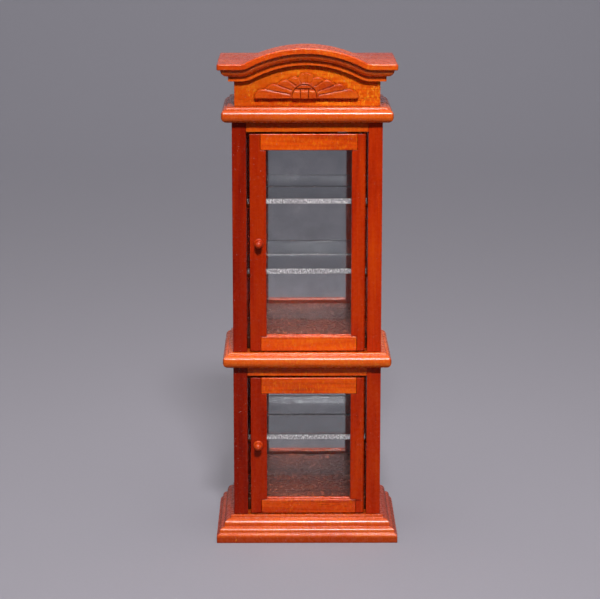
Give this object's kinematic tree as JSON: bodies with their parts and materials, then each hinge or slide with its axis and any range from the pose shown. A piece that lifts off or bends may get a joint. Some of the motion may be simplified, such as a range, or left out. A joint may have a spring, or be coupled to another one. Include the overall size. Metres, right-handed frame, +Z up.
{
  "type": "display case",
  "caption": "Tall miniature display case with hinged glass doors, clear shelves, mirror backs and glazed sides, on a moulded plinth, under an arched crown with a carved fan.",
  "frame": {"origin": "middle of the footprint at the underside of the plinth", "axes": "+Z up, the doors face -Y, +X to the right of someone who faces the doors"},
  "size_m": [0.0652, 0.0454, 0.1781],
  "materials": {
    "case_wood": "gloss lacquer over red cherry stain",
    "door_wood": "gloss lacquer over red cherry stain",
    "crown_wood": "gloss lacquer over lighter cherry stain",
    "interior_wood": "satin dark stain",
    "back_wood": "satin stain",
    "glass": "clear",
    "clear_shelf": "clear with frosted sawn edges",
    "mirror": "silvered",
    "brass_pin": "plain"
  },
  "bodies": {
    "case": {"base_board": "case_wood", "base_molding_front": "case_wood", "base_molding_left": "case_wood", "base_molding_right": "case_wood", "cornice_board": "crown_wood", "crown_molding_front": "crown_wood", "crown_molding_left": "crown_wood", "crown_molding_right": "crown_wood", "crown_slab": "crown_wood", "crown_top_board": "crown_wood", "fan_ornament": "crown_wood", "frieze_back": "crown_wood", "frieze_block": "crown_wood", "frieze_side_left": "crown_wood", "frieze_side_right": "crown_wood", "lower_back_panel": "glass", "lower_floor": "interior_wood", "lower_mirror": "mirror", "lower_shelf": "clear_shelf", "lower_shelf_cleat_left": "interior_wood", "lower_shelf_cleat_right": "interior_wood", "lower_side_left": "case_wood", "lower_side_pane_left": "glass", "lower_side_pane_right": "glass", "lower_side_right": "case_wood", "lower_top_rail": "case_wood", "upper_back_panel": "glass", "upper_floor": "interior_wood", "upper_mirror": "mirror", "upper_shelf_1": "clear_shelf", "upper_shelf_1_cleat_left": "interior_wood", "upper_shelf_1_cleat_right": "interior_wood", "upper_shelf_2": "clear_shelf", "upper_shelf_2_cleat_left": "interior_wood", "upper_shelf_2_cleat_right": "interior_wood", "upper_side_left": "case_wood", "upper_side_pane_left": "glass", "upper_side_pane_right": "glass", "upper_side_right": "case_wood", "upper_top_rail": "case_wood", "waist_board": "case_wood"},
    "lower_door": {"lower_door_knob": "door_wood", "lower_door_pane": "glass", "lower_door_pin_bottom": "brass_pin", "lower_door_pin_top": "brass_pin", "lower_door_rail_bottom": "door_wood", "lower_door_rail_top": "door_wood", "lower_door_stile_left": "door_wood", "lower_door_stile_right": "door_wood"},
    "upper_door": {"upper_door_knob": "door_wood", "upper_door_pane": "glass", "upper_door_pin_bottom": "brass_pin", "upper_door_pin_top": "brass_pin", "upper_door_rail_bottom": "door_wood", "upper_door_rail_top": "door_wood", "upper_door_stile_left": "door_wood", "upper_door_stile_right": "door_wood"}
  },
  "joints": [
    {"name": "lower_door_hinge", "type": "hinge", "parent": "case", "child": "lower_door", "pos_m": [0.01845, -0.0143, 0.03465], "axis": [0, 0, 1], "range_deg": [0, 100]},
    {"name": "upper_door_hinge", "type": "hinge", "parent": "case", "child": "upper_door", "pos_m": [0.01845, -0.0143, 0.1088], "axis": [0, 0, 1], "range_deg": [0, 100]}
  ]
}
